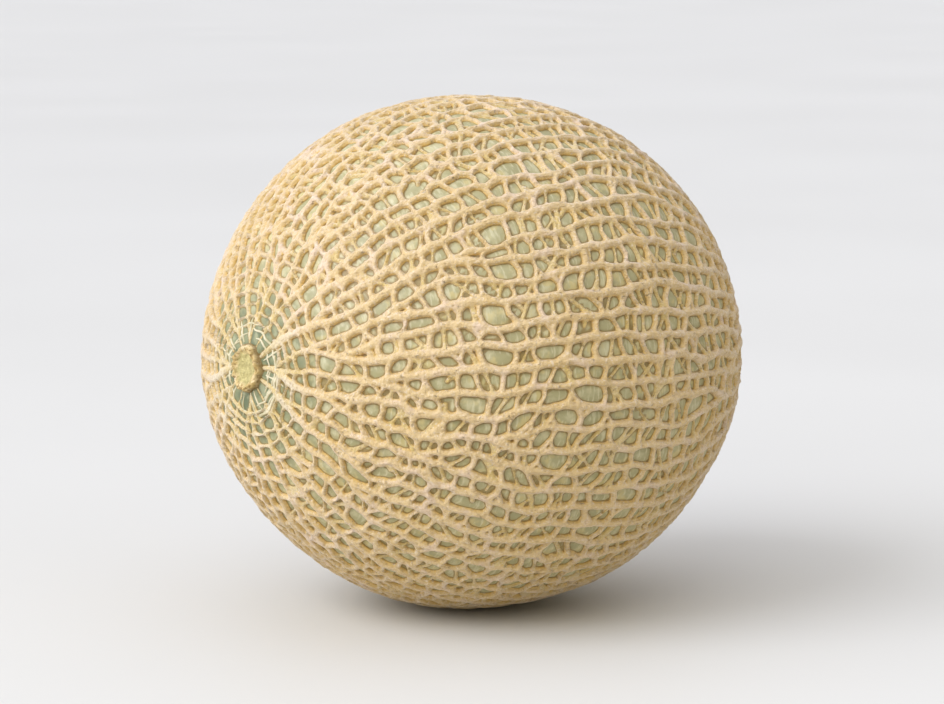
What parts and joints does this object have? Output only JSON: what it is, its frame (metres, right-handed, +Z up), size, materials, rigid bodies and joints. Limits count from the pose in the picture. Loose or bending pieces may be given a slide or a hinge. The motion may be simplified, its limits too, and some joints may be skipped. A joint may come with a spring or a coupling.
{
  "type": "cantaloupe melon",
  "caption": "Whole round netted melon lying on its side, with raised corky netting over a grey-green rind and a stem scar at one end.",
  "frame": {"origin": "on the surface that the melon lies on, below the middle of the melon", "axes": "+Z is up. +X runs along the melon's own axis, from the stem scar at -X to the blossom scar at +X. +Y is across the melon."},
  "size_m": [0.1622, 0.1486, 0.148],
  "materials": {
    "rind": "grey-green skin with a soft satin sheen, seen in the openings of the net",
    "net": "dry matt cork, pale tan on the crests and browner down the sides",
    "scar": "dry matt pith, pale yellow-green, with a crumbly tan rim"
  },
  "bodies": {
    "root": {"melon": "rind"}
  },
  "joints": []
}
